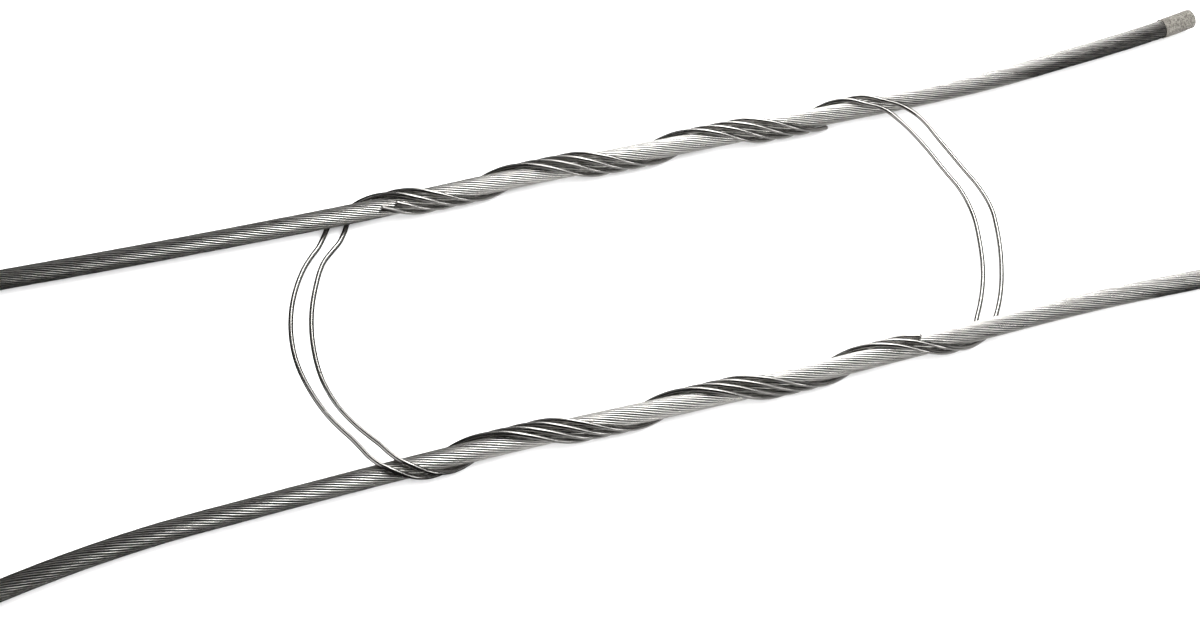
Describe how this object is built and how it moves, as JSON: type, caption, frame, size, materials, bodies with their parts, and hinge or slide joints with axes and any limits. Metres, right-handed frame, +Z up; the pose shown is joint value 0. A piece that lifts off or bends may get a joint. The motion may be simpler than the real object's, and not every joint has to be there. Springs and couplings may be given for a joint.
{
  "type": "wire rope sling",
  "caption": "Pair of laid steel wire strands held side by side by preformed helical tie rods, whose bows close a long loop at each end.",
  "frame": {"origin": "middle of the footprint, on the surface that the wraps rest on", "axes": "+X along the strands to the right, +Y from the front strand to the back strand, +Z up from the surface"},
  "size_m": [0.9306, 0.2428, 0.0201],
  "materials": {
    "strand_wire": "bright drawn steel wire, laid and slightly dulled, with darker grooves between the wires",
    "inner_wire": "dull drawn steel wire",
    "tie_rod": "bright smooth preformed rod",
    "end_tape": "grainy light grey-beige cloth tape"
  },
  "bodies": {
    "root": {"back_strand_king_wire": "inner_wire", "back_strand_wires_6": "inner_wire", "back_strand_wires_12": "inner_wire", "back_strand_wires_18": "inner_wire", "back_strand_outer_wires_24": "strand_wire", "back_strand_left_end_tape": "end_tape", "back_strand_right_end_tape": "end_tape", "front_strand_king_wire": "inner_wire", "front_strand_wires_6": "inner_wire", "front_strand_wires_12": "inner_wire", "front_strand_wires_18": "inner_wire", "front_strand_outer_wires_24": "strand_wire", "front_strand_left_end_tape": "end_tape", "front_strand_right_end_tape": "end_tape", "left_tie_outer_rod": "tie_rod", "left_tie_inner_rod": "tie_rod", "right_tie_inner_rod": "tie_rod", "right_tie_outer_rod": "tie_rod"}
  },
  "joints": []
}
